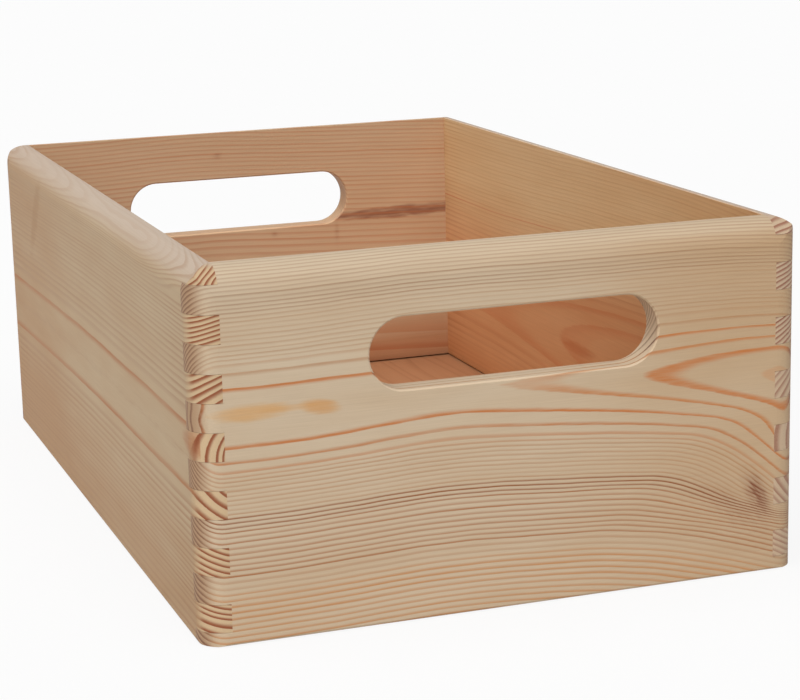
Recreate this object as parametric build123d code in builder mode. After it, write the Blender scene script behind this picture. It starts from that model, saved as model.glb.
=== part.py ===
# Open storage box of solid pine: four boards joined by glued fingers, and a thin floor held in grooves
import os

from build123d import *

# Driving dimensions in millimetres. X runs across the box, Y along it, Z is up from the table
box_width = 242.0
box_length = 372.0
box_height = 140.0
wall = 11.0

# Finger joints, counted down from the rim. The uppermost finger belongs to the long sides
top_finger = 6.4
finger_height = 10.7
glue_film = 0.1

# Hand holes. Both end boards are cut at the same stop, so the hole sits a little off the middle
hole_length = 115.0
hole_height = 27.4
hole_below_rim = 37.7
hole_off_middle = 2.7
hole_edge_break = 0.6

# Floor panel and the grooves that hold it
floor_thickness = 3.6
floor_lift = 8.0
groove_depth = 5.0
groove_end_play = 0.5
groove_top_play = 0.8

# Outside edges: the rim is rounded over nearly the whole thickness of the boards, and the upright corners
# are rounded once the box is glued up. The table edges and the inner edge of the rim are only broken
rim_round = 10.4
corner_round = 10.0
base_round = 1.0
rim_edge_break = 0.3

# What follows from the driving dimensions
inner_width = box_width - 2 * wall
inner_length = box_length - 2 * wall
hole_middle_height = box_height - hole_below_rim
floor_width = inner_width + 2 * (groove_depth - groove_end_play)
floor_length = inner_length + 2 * (groove_depth - groove_end_play)
groove_height = floor_thickness + groove_top_play

# Heights where one finger ends and the next begins, from the rim down to the table.
# The lowest finger takes up what is left, between 0.4 and 1.4 finger heights
finger_lines = [box_height, box_height - top_finger]
while finger_lines[-1] > 1.4 * finger_height:
    finger_lines.append(finger_lines[-1] - finger_height)
finger_lines.append(0.0)
fingers = list(zip(finger_lines[:-1], finger_lines[1:]))
side_fingers = fingers[0::2]
end_fingers = fingers[1::2]

# The whole box as one block with its outside edges rounded: every board is trimmed to it.
# It is what three outlines leave: the plan, the cross-section, and the lengthwise section
with BuildPart() as outside:
    with BuildSketch(Plane.XY):
        RectangleRounded(box_width, box_length, corner_round)
    extrude(amount=box_height)
    with BuildSketch(Plane.XZ) as cross_section:
        with Locations((0, box_height / 2)):
            Rectangle(box_width, box_height)
        fillet(cross_section.vertices().group_by(Axis.Y)[-1], radius=rim_round)
        fillet(cross_section.vertices().group_by(Axis.Y)[0], radius=base_round)
    extrude(amount=box_length / 2, both=True, mode=Mode.INTERSECT)
    with BuildSketch(Plane.YZ) as long_section:
        with Locations((0, box_height / 2)):
            Rectangle(box_length, box_height)
        fillet(long_section.vertices().group_by(Axis.Y)[-1], radius=rim_round)
        fillet(long_section.vertices().group_by(Axis.Y)[0], radius=base_round)
    extrude(amount=box_width / 2, both=True, mode=Mode.INTERSECT)

# The slant taken off the inner edge of the rim, all the way round
with BuildPart() as rim_break:
    with BuildSketch(Plane.XY.offset(box_height - rim_edge_break)):
        Rectangle(inner_width, inner_length)
    extrude(amount=rim_edge_break, taper=-45)

# The space that the four grooves leave for the edge of the floor
with BuildPart() as groove_space:
    with BuildSketch(Plane.XY.offset(floor_lift)):
        Rectangle(inner_width + 2 * groove_depth, inner_length + 2 * groove_depth)
    extrude(amount=groove_height)

# Long side on the left: fingers reach through to the outer faces of the end boards
with BuildPart() as left_side:
    with BuildSketch(Plane.YZ.offset(-box_width / 2)):
        with Locations((0, box_height / 2)):
            Rectangle(box_length, box_height)
    extrude(amount=wall)
    for upper, lower in end_fingers:
        with Locations((-(box_width - wall) / 2, 0, (upper + lower) / 2)):
            with GridLocations(wall, box_length - wall, 1, 2):
                Box(wall, wall, upper - lower + glue_film, mode=Mode.SUBTRACT)
    add(groove_space.part, mode=Mode.SUBTRACT)
    add(rim_break.part, mode=Mode.SUBTRACT)
    add(outside.part, mode=Mode.INTERSECT)

# Long side on the right, the mirror image of the left one
with BuildPart() as right_side:
    mirror(left_side.part, about=Plane.YZ)

# Front end board with its hand hole
with BuildPart() as front_end:
    with BuildSketch(Plane.XZ.offset(box_length / 2)):
        with Locations((0, box_height / 2)):
            Rectangle(box_width, box_height)
        with Locations((hole_off_middle, hole_middle_height)):
            SlotOverall(hole_length, hole_height, mode=Mode.SUBTRACT)
    extrude(amount=-wall)
    hole_rims = [face.inner_wires()[0].edges() for face in front_end.faces().filter_by(Axis.Y)]
    chamfer(hole_rims[0] + hole_rims[1], length=hole_edge_break)
    for upper, lower in side_fingers:
        with Locations((0, -(box_length - wall) / 2, (upper + lower) / 2)):
            with GridLocations(box_width - wall, wall, 2, 1):
                Box(wall, wall, upper - lower + glue_film, mode=Mode.SUBTRACT)
    add(groove_space.part, mode=Mode.SUBTRACT)
    add(rim_break.part, mode=Mode.SUBTRACT)
    add(outside.part, mode=Mode.INTERSECT)

# Back end board: the same board turned round
with BuildPart() as back_end:
    add(front_end.part, rotation=(0, 0, 180))

# Floor panel, resting on the lower faces of the grooves
with BuildPart() as floor_panel:
    with BuildSketch(Plane.XY.offset(floor_lift)):
        Rectangle(floor_width, floor_length)
    extrude(amount=floor_thickness)

left_side.part.label = "left_side"
right_side.part.label = "right_side"
front_end.part.label = "front_end"
back_end.part.label = "back_end"
floor_panel.part.label = "floor_panel"

os.makedirs("parts", exist_ok=True)
for board in (left_side, right_side, front_end, back_end, floor_panel):
    export_step(board.part, f"parts/{board.part.label}.step")
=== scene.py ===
import math

import bpy
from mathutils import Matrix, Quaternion, Vector


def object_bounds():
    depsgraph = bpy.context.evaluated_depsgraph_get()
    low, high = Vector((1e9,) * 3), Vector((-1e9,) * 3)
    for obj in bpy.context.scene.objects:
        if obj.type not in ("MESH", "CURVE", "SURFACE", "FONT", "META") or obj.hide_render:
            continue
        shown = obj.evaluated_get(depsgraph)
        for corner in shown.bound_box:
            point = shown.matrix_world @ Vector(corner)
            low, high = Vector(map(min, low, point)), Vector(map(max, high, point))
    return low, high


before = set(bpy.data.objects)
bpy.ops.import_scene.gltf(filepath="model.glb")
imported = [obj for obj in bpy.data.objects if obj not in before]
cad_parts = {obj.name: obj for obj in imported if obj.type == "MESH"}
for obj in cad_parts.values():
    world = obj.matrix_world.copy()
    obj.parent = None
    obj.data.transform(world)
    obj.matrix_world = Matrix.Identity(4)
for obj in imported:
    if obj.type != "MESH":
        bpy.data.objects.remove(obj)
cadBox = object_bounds()
print("frame loaded:", sorted(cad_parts))


class Wire:  # one output of a shader node, with arithmetic
    def __init__(self, tree, socket=None):
        self.tree = tree
        self.socket = socket

    def node(self, kind, settings=None, sockets=None, output=0):
        made = self.tree.nodes.new(kind)
        for name, value in (settings or {}).items():
            setattr(made, name, value)
        for name, value in (sockets or {}).items():
            if isinstance(value, Wire):
                self.tree.links.new(value.socket, made.inputs[name])
            else:
                made.inputs[name].default_value = value
        return Wire(self.tree, made.outputs[output])

    def other(self, output):  # another output of the same node
        return Wire(self.tree, self.socket.node.outputs[output])

    def math(self, operation, first, second=0.0):
        return self.node("ShaderNodeMath", {"operation": operation}, {0: first, 1: second})

    def __add__(self, value):
        return self.math("ADD", self, value)

    def __radd__(self, value):
        return self.math("ADD", value, self)

    def __sub__(self, value):
        return self.math("SUBTRACT", self, value)

    def __rsub__(self, value):
        return self.math("SUBTRACT", value, self)

    def __mul__(self, value):
        return self.math("MULTIPLY", self, value)

    def __rmul__(self, value):
        return self.math("MULTIPLY", value, self)

    def __truediv__(self, value):
        return self.math("DIVIDE", self, value)

    def __rtruediv__(self, value):
        return self.math("DIVIDE", value, self)

    def __abs__(self):
        return self.math("ABSOLUTE", self)

    def exp(self):
        return self.math("EXPONENT", self)

    def floor(self):
        return self.math("FLOOR", self)

    def fract(self):
        return self.math("FRACT", self)

    def power(self, value):
        return self.math("POWER", self, value)

    def most(self, value):
        return self.math("MAXIMUM", self, value)

    def least(self, value):
        return self.math("MINIMUM", self, value)

    def smooth(self, start, end):  # 0 before start, 1 after end
        return self.node("ShaderNodeMapRange", {"interpolation_type": "SMOOTHSTEP"},
                         {"Value": self, "From Min": start, "From Max": end})

    def bump(self, middle, reach):  # a soft hill of height 1
        away = (self - middle) * (1 / reach)
        return (away * away * -1.0).exp()

    def colour(self, low, high):  # this value blends two colours
        return self.node("ShaderNodeMix", {"data_type": "RGBA"}, {0: self, 6: low, 7: high}, 2)

    def times(self, shade):  # a colour times a grey value or another colour
        settings = {"data_type": "RGBA", "blend_type": "MULTIPLY"}
        return self.node("ShaderNodeMix", settings, {0: 1.0, 6: self, 7: shade}, 2)


def tone(red, green, blue):  # screen colour, 0 to 255, as Blender's linear colour
    shares = [value / 255 for value in (red, green, blue)]
    return [s / 12.92 if s <= 0.04045 else ((s + 0.055) / 1.055) ** 2.4 for s in shares] + [1.0]


def newMaterial(name):
    made = bpy.data.materials.new(name)
    made.use_nodes = True
    made.node_tree.nodes.clear()
    return made, Wire(made.node_tree)


def finishMaterial(start, shader):
    end = start.tree.nodes.new("ShaderNodeOutputMaterial")
    start.tree.links.new(shader.socket, end.inputs["Surface"])


# Growth rings
def ringCount(radius, widths, ringAt):  # whole numbers where a year ends
    count = 0.0
    before = 0.0
    reference = 0.0
    for start, width in widths:
        gain = 1 / width - before
        count = (radius - start).most(0.0) * gain + count
        reference += max(ringAt - start, 0.0) * gain
        before = 1 / width
    return count - reference


def noise(along, height, depth, size, detail=1.0, shift=0.0):  # about -1 to 1, size in mm along and across
    place = along.node("ShaderNodeCombineXYZ", {}, {"X": along * (1 / size[0]) + shift,
                                                    "Y": height * (1 / size[1]), "Z": depth * (1 / size[1])})
    cloud = along.node("ShaderNodeTexNoise", {}, {"Vector": place, "Scale": 1.0, "Detail": detail}, "Fac")
    return (cloud - 0.5) * 2.6


def lateGrowth(value, bend):  # how far a bend has gone: start, rate
    start, rate = bend
    past = (value - start).most(0.0)
    return past * past * rate


def spotDistance(along, height, spot):  # squared distance from a spot, 1 at its reach
    sideways = (along - spot["along"]) * (1 / spot["reach"][0])
    upward = height - spot["height"] - (along - spot["along"]) * spot.get("tilt", 0.0)
    upward = upward * (1 / spot["reach"][1])
    return sideways * sideways + upward * upward


def pine(name, board):
    material, start = newMaterial(name)
    coordinates = start.node("ShaderNodeTexCoord", {}, {}, "Object")
    sides = start.node("ShaderNodeSeparateXYZ", {}, {"Vector": coordinates})
    places = {"x": sides * 1000, "y": sides.other("Y") * 1000, "z": sides.other("Z") * 1000}
    facing = start.node("ShaderNodeSeparateXYZ", {}, {"Vector": coordinates.other("Normal")})
    facings = {"x": facing, "y": facing.other("Y")}
    along = places[board["alongAxis"]] * board["alongSign"] + board["alongHalf"]
    depth = places[board["depthAxis"]] * board["depthSign"] + board["depthHalf"]
    height = places["z"]
    endGrain = abs(facings[board["alongAxis"]]).smooth(*board["endReach"])
    # Inside faces, which get painted light and shade further down
    inside = (facings[board["depthAxis"]] * board["depthSign"]).smooth(0.4, 0.9)
    # On the back board the hand hole's ends and inner body get the inside's painted light and shade too
    inside = inside.most(depth.smooth(0.5, 3.0) * height.smooth(128.0, 120.0) * board["holePaintedInsideShare"])
    rim = facing.other("Z").smooth(0.1, 0.9) * height.smooth(120.0, 128.0) * (1.0 - endGrain)
    lipPaintedLight = facing.other("Z").smooth(0.2, 0.8) * height.smooth(120.0, 112.0)  # lower side of a hand hole, made paler: painted light
    seed = board["seed"]

    # Where the heart of the tree runs past the board
    wander = noise(along, height, depth, (110, 45), 1.0, seed) * board["wander"]
    ripple = noise(along, height, depth, (22, 7), 1.0, seed + 7) * board["ripple"]
    away = depth * board["heartSide"] + board["heartAway"] - lateGrowth(along, board["awayBend"])
    up = height - board["heartHeight"] - along.bump(*board["hump"][:2]) * board["hump"][2]
    up = up + lateGrowth(along, board["heightBend"]) + wander + ripple
    if "sag" in board:
        sag = board["sag"]
        begin = up * sag["lean"] + sag["start"]
        deep = up.smooth(*sag["below"]) * (1.0 - up.smooth(*sag["fade"]) * sag["fadeBy"])
        up = up + along.smooth(begin, sag["end"]) * deep * sag["amount"]
    if "rimTilt" in board:
        tilt = board["rimTilt"]
        up = up - depth * height.smooth(*tilt["height"]) * tilt["slope"]
        up = up - along.smooth(*tilt["front"]) * height.smooth(*tilt["above"]) * tilt["fall"]
    power = board["roundness"]
    radius = (abs(away).power(power) + abs(up).power(power)).power(1 / power)
    spread = along.smooth(*board["spread"]["along"]) * abs(up).smooth(3.0, 9.0)
    radius = radius - spread * radius.smooth(36.0, 28.0) * board["spread"]["amount"]

    # Knots: years crowd round them and darken
    knot = None
    for place in board["knots"]:
        streak = noise(along - height, along + height, depth, (9, 1.3), 1.0, seed + 17)
        streak = streak * place["streak"] + 1.0
        near = (spotDistance(along, height, place) * -1.0).exp() * place["strength"] * streak
        knot = near if knot is None else knot + near

    # Years: pale spring wood, then a dark line of late wood that ends sharply
    count = ringCount(radius, board["ringWidths"], board["ringAt"])
    count = count + noise(radius, radius * 0.0, depth * 0.0, (2.3, 50), 0.0, seed) * board["unevenYears"]
    fuzz = noise(along, height, depth, (9, 0.8), 1.0, seed + 2) * board["fuzz"]
    bold = radius.smooth(*reversed(board["boldReach"]))
    count = count + fuzz * (bold * 0.6 + 0.4)
    count = count + (radius - 46.0).most(0.0) * up.smooth(10.0, 30.0) * board["upperYears"]
    rimGain = height.smooth(124.0, 133.0) * (1.0 - endGrain) * board["rimYears"]
    count = count + (radius - 60.0).most(0.0) * rimGain
    year = count.floor()
    left = 1.0 - (count - year)
    chance = start.node("ShaderNodeTexWhiteNoise", {"noise_dimensions": "1D"}, {"W": year + seed}, "Value")
    share = bold * (board["boldShare"] - board["fineShare"]) + board["fineShare"]
    share = share + endGrain * board["endShare"]
    lateWood = (left / share).smooth(1.4, 0.35) * left.smooth(0.0, 0.06)
    fibre = noise(along, height, depth, (26, 0.4), 2.0, seed + 3)
    lively = noise(along, radius, depth * 0.0, (60, 1.4), 1.0, seed + 13) * 0.3 + fibre * 0.25 + 1.0
    ragged = noise(along, height, depth, (14, 1.0), 2.0, seed + 19) * bold * board["boldRagged"]
    lively = lively + ragged
    strength = chance * board["chanceStrength"] + board["fineStrength"]
    line = None
    for band in board["bands"]:
        mask = radius.smooth(band["from"] - band["soft"], band["from"] + band["soft"])
        mask = mask * radius.smooth(band["to"] + band["soft"], band["to"] - band["soft"])
        mask = mask * (up * band["side"]).smooth(-3.0, 8.0) if band["side"] else mask
        strength = strength + mask * band["strength"]
        line = mask.colour(board["fineYear"] if line is None else line, band["colour"])
    for spot in board["faint"]:
        strength = strength * (1.0 - (spotDistance(along, height, spot) * -1.0).exp() * spot["amount"])
    if knot is not None:
        strength = strength + knot * 0.5
        line = knot.least(1.0).colour(line, board["knotYear"])
    line = endGrain.colour(line, board["endYear"])
    endLines = endGrain * (height.smooth(*board["endHeight"]) * 0.5 + 0.5) * board["endStrength"]
    outer = abs(along - board["alongHalf"]).smooth(board["alongHalf"] - 45, board["alongHalf"] - 25)
    strength = strength * lively * (1.0 - inside * board["insideFade"]) * (1.0 - rim * board["rimFade"])
    strength = (strength + outer * board["nearEnds"]).most(endLines * (outer * 0.8 + 0.2)) * lateWood

    # Fine flecks, slow changes of tone, and painted light and shade on rim, hand holes and inside faces
    fleck = noise(along, height, depth, (4, 0.25), 1.0, seed + 5).smooth(0.5, 1.0)
    cloud = noise(along, height, depth, (80, 18), 2.0, seed + 9) * 0.3 + 0.3
    warm = cloud + along.smooth(*board["warmAlong"]) * board["warmAmount"]
    warm = (warm + height.smooth(*board["warmHeight"]) * board["warmAmount"]).least(1.0)
    wood = warm.colour(board["paleWood"], board["warmWood"])
    # End grain; the hand holes' ends get a paler colour: painted light
    wood = endGrain.colour(wood, outer.colour(board["capWoodPaintedLight"], board["endWood"]))
    if knot is not None:
        wood = (knot * 0.45).least(0.8).colour(wood, board["knotYear"])
    for patch in board["patches"]:
        ragged = noise(along, height, depth, (12, 1.8), 2.0, seed + patch["along"]) * patch["ragged"]
        mask = (spotDistance(along, height, patch) + ragged).smooth(1.4, 0.0) * patch["strength"]
        mask = mask * depth.smooth(patch["depth"][0] - 0.5, patch["depth"][0])
        mask = mask * depth.smooth(patch["depth"][1] + 0.5, patch["depth"][1])
        wood = mask.colour(wood, patch["colour"])
    # Top of the rim paler and pinker: partly paler sanded wood, partly painted sheen of the top lamp
    wood = (rim * board["rimWoodAndSheenAmount"]).colour(wood, board["rimWoodAndPaintedSheen"])
    # Painted light: paler lower side of the hand hole
    wood = (lipPaintedLight * board["lipPaintedLightAmount"]).colour(wood, board["lipPaintedLightWood"])
    wood = strength.least(1.0).colour(wood, line)
    # Painted shade: lower inside walls darker and redder; on the back wall it stands for the front wall's
    # shadow
    low = height.smooth(*board["paintedShadeReach"])
    # Inside faces: colour times painted light, brighter and warmer, standing for bounce light inside the box
    paintedInsideLightShade = low.colour(board["insidePaintedLight"], board["insideLowPaintedShade"])
    # Painted shade: darker still just above the floor panel, where the corner is shaded
    paintedInsideLightShade = paintedInsideLightShade.times(1.0 - height.smooth(18.0, 11.0) * 0.2)
    wood = wood.times(inside.colour((1.0, 1.0, 1.0, 1.0), paintedInsideLightShade))
    wood = wood.times(1.0 + fibre * 0.07 - fleck * 0.1)
    rough = 0.64 - lateWood * 0.08
    relief = lateWood * 0.5 + fibre * 0.35
    normal = start.node("ShaderNodeBump", {}, {"Strength": 0.2, "Distance": 0.0002, "Height": relief})
    surface = start.node("ShaderNodeBsdfPrincipled", {}, {
        "Base Color": wood, "Roughness": rough, "Specular IOR Level": 0.25, "Normal": normal})
    finishMaterial(start, surface)
    return material


halfWidth = 500 * (cadBox[1][0] - cadBox[0][0])
halfLength = 500 * (cadBox[1][1] - cadBox[0][1])

frontBoard = {
    "node": "front_end", "seed": 3.0,
    "alongAxis": "x", "alongSign": 1, "alongHalf": halfWidth,
    "depthAxis": "y", "depthSign": 1, "depthHalf": halfLength,
    "heartAway": 20.65, "heartSide": 1, "awayBend": (85.8, 5.07e-4), "roundness": 1.6,
    "heartHeight": 84.65, "hump": (95.0, 45.0, 2.27), "heightBend": (147.5, 8.15e-4),
    "wander": 0.4, "ripple": 0.25, "fuzz": 0.025,
    "sag": {"lean": 1.1, "start": 220.0, "end": 330.0, "below": (-6, -26), "fade": (-44, -64),
            "fadeBy": 0.62, "amount": 47.0},
    "ringWidths": ((0, 5.45), (10.9, 5.7), (16.6, 3.65), (20.25, 4.0), (24.25, 3.65), (27.9, 2.9),
                   (30.8, 1.6), (32.4, 1.475), (50.1, 1.93), (65.6, 2.2)),
    "ringAt": 24.25, "unevenYears": 0.08, "upperYears": 0.1, "rimYears": 0.0, "nearEnds": 0.0,
    "spread": {"along": (110, 40), "amount": 1.2}, "holePaintedInsideShare": 0.0,
    "faint": ({"along": 126.0, "height": 86.0, "reach": (16, 5), "amount": 0.6},),
    "boldReach": (26.0, 33.0), "boldShare": 0.25, "fineShare": 0.44, "boldRagged": 0.35,
    "lipPaintedLightWood": tone(214, 192, 163), "lipPaintedLightAmount": 0.7,
    "fineStrength": 0.32, "chanceStrength": 0.3, "fineYear": tone(160, 116, 78),
    "bands": (
        {"from": -9, "to": 25.8, "soft": 1.0, "side": 0, "strength": 0.35, "colour": tone(174, 108, 60)},
        {"from": -9, "to": 13.0, "soft": 0.8, "side": 0, "strength": -0.4, "colour": tone(178, 118, 68)},
        {"from": 17.4, "to": 20.8, "soft": 0.5, "side": 0, "strength": 0.1, "colour": tone(174, 110, 60)},
        {"from": 25.8, "to": 32.0, "soft": 1.0, "side": -1, "strength": 0.18, "colour": tone(168, 108, 64)},
        {"from": 32.0, "to": 46.0, "soft": 2.0, "side": 1, "strength": -0.1, "colour": tone(158, 120, 84)},
        {"from": 46.0, "to": 99.0, "soft": 2.0, "side": 1, "strength": 0.05, "colour": tone(142, 106, 76)},
        {"from": 44.6, "to": 67.0, "soft": 0.8, "side": -1, "strength": 0.2, "colour": tone(148, 94, 54)},
        {"from": 44.6, "to": 49.6, "soft": 0.8, "side": -1, "strength": 0.12, "colour": tone(132, 80, 46)},
        {"from": 71.0, "to": 99.0, "soft": 1.5, "side": -1, "strength": 0.22, "colour": tone(172, 116, 66)}),
    "endReach": (0.35, 0.9), "endStrength": 0.7, "endShare": 0.05, "endHeight": (-9, -1),
    "endYear": tone(104, 64, 46), "endWood": tone(160, 130, 101), "capWoodPaintedLight": tone(204, 180, 152),
    "paleWood": tone(188, 170, 146), "warmWood": tone(174, 146, 113), "warmAlong": (110, 240),
    "warmAmount": 0.5, "warmHeight": (-20, -40),
    "rimWoodAndPaintedSheen": tone(193, 177, 153), "rimWoodAndSheenAmount": 0.4, "rimFade": 0.2,
    "insidePaintedLight": (1.1, 0.95, 0.84, 1.0), "insideLowPaintedShade": (1.1, 0.84, 0.66, 1.0), "paintedShadeReach": (34.0, 20.0),
    "insideFade": 0.3, "knotYear": tone(118, 68, 44),
    "knots": (
        {"along": 224.0, "height": 32.0, "reach": (4.5, 5.5), "tilt": -0.9, "strength": 1.5, "streak": 0.9},
        {"along": 214.0, "height": 28.0, "reach": (14, 6), "tilt": -0.6, "strength": 0.4, "streak": 0.7}),
    "patches": (
        {"along": 225.0, "height": 120.0, "reach": (70, 34), "tilt": 0.0, "ragged": 0.3, "depth": (-1, 2),
         "strength": 0.45, "colour": tone(170, 138, 102)},
        {"along": 21.0, "height": 86.4, "reach": (15, 3.4), "tilt": 0.02, "ragged": 0.5, "depth": (-1, 2),
         "strength": 0.7, "colour": tone(190, 144, 88)},
        {"along": 47.0, "height": 86.0, "reach": (8, 3.0), "tilt": -0.12, "ragged": 0.5, "depth": (-1, 2),
         "strength": 0.75, "colour": tone(186, 136, 80)},
        {"along": 35.0, "height": 86.6, "reach": (12, 1.4), "tilt": 0.0, "ragged": 0.4, "depth": (-1, 2),
         "strength": 0.4, "colour": tone(188, 142, 88)})}
backBoard = dict(
    frontBoard, node="back_end", seed=11.0, alongSign=1, depthSign=-1,
    heartAway=60.0, awayBend=(0.0, 0.0), heartHeight=40.0, heightBend=(100.0, 0.0002), roundness=2.0,
    ringWidths=((0, 2.0),), ringAt=60.0, fineStrength=0.3, chanceStrength=0.3, holePaintedInsideShare=1.0,
    insideFade=0.15, faint=(),
    # Back board: darker hole ends, and the front wall's shadow painted low on the inside
    capWoodPaintedLight=tone(186, 158, 128), insideLowPaintedShade=(0.95, 0.62, 0.46, 1.0), paintedShadeReach=(29.0, 21.0), bands=(
        {"from": 0, "to": 999, "soft": 1.0, "side": 0, "strength": 0.0, "colour": tone(166, 104, 64)},),
    warmAmount=0.2, knots=(
        {"along": 107.0, "height": 128.0, "reach": (2, 1.5), "tilt": 0.0, "strength": 0.5, "streak": 0.0},
        {"along": 170.0, "height": 84.0, "reach": (1.2, 5), "tilt": 0.0, "strength": 0.35, "streak": 0.0},
        {"along": 136.0, "height": 85.0, "reach": (1.5, 1.2), "tilt": 0.0, "strength": 0.5, "streak": 0.0}),
    patches=(
        # Painted shadow: a thin dark line on the inner back wall beside the hand hole
        {"along": 207.0, "height": 92.0, "reach": (46, 3.2), "tilt": 0.005, "ragged": 0.8, "depth": (9, 20),
         "strength": 0.85, "colour": tone(122, 78, 60)},))
del backBoard["sag"]
leftBoard = {
    "node": "left_side", "seed": 23.0,
    "alongAxis": "y", "alongSign": 1, "alongHalf": halfLength,
    "depthAxis": "x", "depthSign": 1, "depthHalf": halfWidth,
    "heartAway": 21.3, "heartSide": -1, "awayBend": (0.0, 0.0), "roundness": 2.0,
    "heartHeight": 70.0, "hump": (180.0, 60.0, 0.6), "heightBend": (0.0, 5.0e-5),
    "wander": 0.5, "ripple": 0.2, "fuzz": 0.03,
    "rimTilt": {"slope": 0.5, "height": (128, 136), "front": (90, 0), "above": (124, 133), "fall": 6.0},
    "ringWidths": ((0, 2.1), (13.3, 3.7), (28.1, 2.2), (45.0, 1.9), (61.0, 3.2)), "ringAt": 25.0,
    "unevenYears": 0.12, "upperYears": 0.08, "rimYears": 0.6, "nearEnds": 0.15,
    "spread": {"along": (110, 40), "amount": 0.0}, "holePaintedInsideShare": 0.0, "faint": (),
    "boldReach": (25.5, 29.0), "boldShare": 0.34, "fineShare": 0.44, "boldRagged": 0.2,
    "lipPaintedLightWood": tone(214, 192, 163), "lipPaintedLightAmount": 0.0,
    "fineStrength": 0.26, "chanceStrength": 0.26, "fineYear": tone(146, 106, 70),
    "bands": (
        {"from": 22.4, "to": 26.4, "soft": 1.0, "side": 0, "strength": 0.4, "colour": tone(158, 99, 50)},
        {"from": 27.0, "to": 99.0, "soft": 1.0, "side": -1, "strength": 0.08, "colour": tone(148, 104, 64)}),
    "endReach": (0.0, 0.6), "endStrength": 0.95, "endShare": 0.08, "endHeight": (-9, -1),
    "endYear": tone(128, 66, 36), "endWood": tone(186, 160, 126), "capWoodPaintedLight": tone(186, 160, 126),
    "paleWood": tone(180, 159, 129), "warmWood": tone(166, 131, 95), "warmAlong": (120, 372),
    "warmAmount": 0.5, "warmHeight": (60, 0),
    "rimWoodAndPaintedSheen": tone(184, 168, 154), "rimWoodAndSheenAmount": 0.75, "rimFade": 0.6,
    "insidePaintedLight": (1.2, 1.06, 0.9, 1.0), "insideLowPaintedShade": (1.2, 0.96, 0.76, 1.0), "paintedShadeReach": (60.0, 24.0),
    "insideFade": 0.3, "knotYear": tone(120, 74, 48), "knots": (), "patches": (
        {"along": 2.0, "height": 75.0, "reach": (15, 5.0), "tilt": 0.1, "ragged": 0.4, "depth": (-1, 2.5),
         "strength": 0.7, "colour": tone(158, 100, 62)},
        {"along": 294.0, "height": 115.0, "reach": (17, 9), "tilt": -1.1, "ragged": 0.9, "depth": (-1, 8),
         "strength": 0.36, "colour": tone(150, 110, 70)})}
rightBoard = dict(
    leftBoard, node="right_side", seed=41.0, alongSign=-1, depthSign=-1,
    heartAway=35.0, heartSide=-1, awayBend=(60.0, 5.0e-4), heartHeight=52.0, heightBend=(0.0, 0.0),
    ringWidths=((0, 9.0), (18.9, 6.0), (24.9, 4.0), (29.0, 2.6), (34.0, 2.1)), ringAt=18.9,
    fineYear=tone(150, 106, 70), bands=(
        {"from": 10.0, "to": 27.0, "soft": 2.0, "side": 0, "strength": 0.2, "colour": tone(160, 92, 52)},
        {"from": 52.0, "to": 55.0, "soft": 1.0, "side": 1, "strength": 0.3, "colour": tone(158, 92, 58)}),
    fineStrength=0.24, chanceStrength=0.3, endStrength=0.8, endYear=tone(126, 72, 52), endHeight=(70, 95),
    endWood=tone(180, 156, 130), capWoodPaintedLight=tone(180, 156, 130), insideFade=0.38, rimYears=0.0,
    # Inside of this board strongly lifted: painted light
    insidePaintedLight=(1.52, 1.42, 1.23, 1.0), insideLowPaintedShade=(1.42, 1.0, 0.77, 1.0), paintedShadeReach=(112.0, 70.0), patches=(
        {"along": 184.0, "height": 50.5, "reach": (20, 3.0), "tilt": 0.0, "ragged": 0.5, "depth": (9, 20),
         "strength": 0.5, "colour": tone(150, 92, 56)},))
del rightBoard["rimTilt"]

for board in (frontBoard, backBoard, leftBoard, rightBoard):
    material = pine(board["node"] + "_pine", board)
    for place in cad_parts[board["node"]].material_slots:
        place.material = material
print("pine boards finished")


# Floor panel of the box
def plywood(name, panel):
    material, start = newMaterial(name)
    coordinates = start.node("ShaderNodeTexCoord", {}, {}, "Object")
    sides = start.node("ShaderNodeSeparateXYZ", {}, {"Vector": coordinates})
    along = sides.other("Y") * 1000
    across = sides * 1000
    figure = noise(along, across, across * 0, (140, 14), 3.0, panel["seed"])
    fibre = noise(along, across, across * 0, (30, 0.6), 2.0, panel["seed"] + 4)
    growth = noise(along, across, across * 0, (240, 32), 1.0, panel["seed"] + 8) * 4.0 + across * 0.035
    grown = growth.fract()
    late = grown.smooth(0.45, 0.95) * grown.smooth(1.0, 0.96)
    wood = (figure * 0.5 + 0.5).colour(panel["paleWood"], panel["warmWood"])
    wood = (late * 0.4).colour(wood, panel["lateWood"]).times(1.0 + fibre * 0.06)
    surface = start.node("ShaderNodeBsdfPrincipled", {}, {
        "Base Color": wood, "Roughness": 0.6, "Specular IOR Level": 0.35})
    finishMaterial(start, surface)
    return material


# Colours darker and redder than the wood itself: painted shade and bounce light of the box's inside
floorPanel = {
    "node": "floor_panel", "seed": 5.0, "paleWood": tone(177, 128, 91), "warmWood": tone(167, 117, 81),
    "lateWood": tone(148, 96, 62)}
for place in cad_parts[floorPanel["node"]].material_slots:
    place.material = plywood("floor_plywood", floorPanel)
print("floor panel finished")

# Studio: table, backdrop, lamps and camera
studio = {
    "floorSize": 12.0, "floorColour": (0.74, 0.74, 0.74, 1.0), "floorWhite": 0.86, "skyLight": 0.35,
    "lamps": (
        {"name": "key_lamp", "from": (-0.31, -0.95, 0.306), "spread": 10, "strength": 0.8},
        {"name": "top_lamp", "from": (-0.4, -0.4, 1.0), "spread": 90, "strength": 2.7})}


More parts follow.
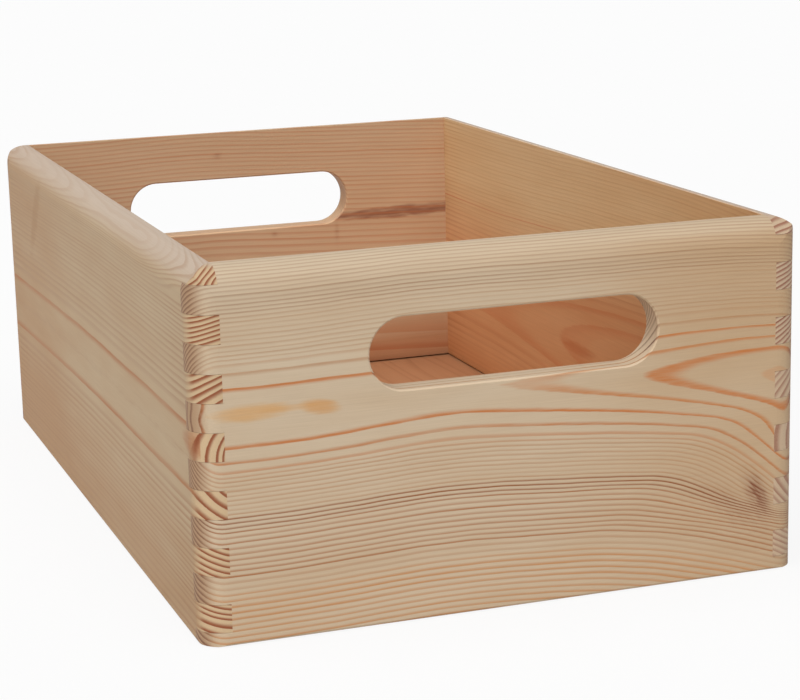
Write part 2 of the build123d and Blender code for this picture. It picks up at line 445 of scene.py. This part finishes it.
def studioFloor():
    bpy.ops.mesh.primitive_plane_add(size=studio["floorSize"], location=(0, 0, -0.0003))
    made = bpy.context.object
    made.name = "table"
    material, start = newMaterial("table_white")
    rays = start.node("ShaderNodeLightPath", {}, {}, "Is Camera Ray")
    seen = (rays + rays.other("Is Glossy Ray") + rays.other("Is Transmission Ray")).least(1.0)
    matt = start.node("ShaderNodeBsdfDiffuse", {}, {"Color": studio["floorColour"]})
    white = start.node("ShaderNodeEmission", {}, {"Strength": 1.0})
    blend = start.node("ShaderNodeMixShader", {}, {0: seen * studio["floorWhite"], 1: matt, 2: white})
    finishMaterial(start, blend)
    made.data.materials.append(material)


def studioSky():
    sky = bpy.data.worlds.new("studio_sky")
    bpy.context.scene.world = sky
    sky.use_nodes = True
    sky.node_tree.nodes.clear()
    start = Wire(sky.node_tree)
    rays = start.node("ShaderNodeLightPath", {}, {}, "Is Camera Ray")
    seen = (rays + rays.other("Is Glossy Ray") + rays.other("Is Transmission Ray")).least(1.0)
    strength = seen * (1.0 - studio["skyLight"]) + studio["skyLight"]
    light = start.node("ShaderNodeBackground", {}, {"Strength": strength})
    end = sky.node_tree.nodes.new("ShaderNodeOutputWorld")
    sky.node_tree.links.new(light.socket, end.inputs["Surface"])


def studioLamp(lamp):
    light = bpy.data.lights.new(lamp["name"], "SUN")
    light.energy = lamp["strength"]
    light.angle = math.radians(lamp["spread"])
    made = bpy.data.objects.new(lamp["name"], light)
    bpy.context.scene.collection.objects.link(made)
    made.location = lamp["from"]
    made.rotation_mode = "QUATERNION"
    made.rotation_quaternion = (-Vector(lamp["from"])).to_track_quat("-Z", "Y")


studioFloor()
studioSky()
for lamp in studio["lamps"]:
    studioLamp(lamp)

camera = {
    "place": (-0.305224, -0.93902, 0.285112), "heading": 19.18664, "dip": 12.8179, "roll": 1.39048,
    "focalPixels": 2256.31, "imageWidth": 800, "sensor": 36.0}


def studioCamera():
    data = bpy.data.cameras.new("camera")
    data.sensor_fit = "HORIZONTAL"
    data.sensor_width = camera["sensor"]
    data.lens = camera["focalPixels"] * camera["sensor"] / camera["imageWidth"]
    data.clip_start = 0.01
    data.clip_end = 50
    made = bpy.data.objects.new("camera", data)
    bpy.context.scene.collection.objects.link(made)
    heading = math.radians(camera["heading"])
    dip = math.radians(camera["dip"])
    ahead = Vector((math.sin(heading) * math.cos(dip), math.cos(heading) * math.cos(dip), -math.sin(dip)))
    made.location = camera["place"]
    made.rotation_mode = "QUATERNION"
    roll = Quaternion((0, 0, 1), -math.radians(camera["roll"]))
    made.rotation_quaternion = ahead.to_track_quat("-Z", "Y") @ roll
    bpy.context.scene.camera = made


studioCamera()
bpy.context.scene.view_settings.view_transform = "Standard"
print("studio ready")
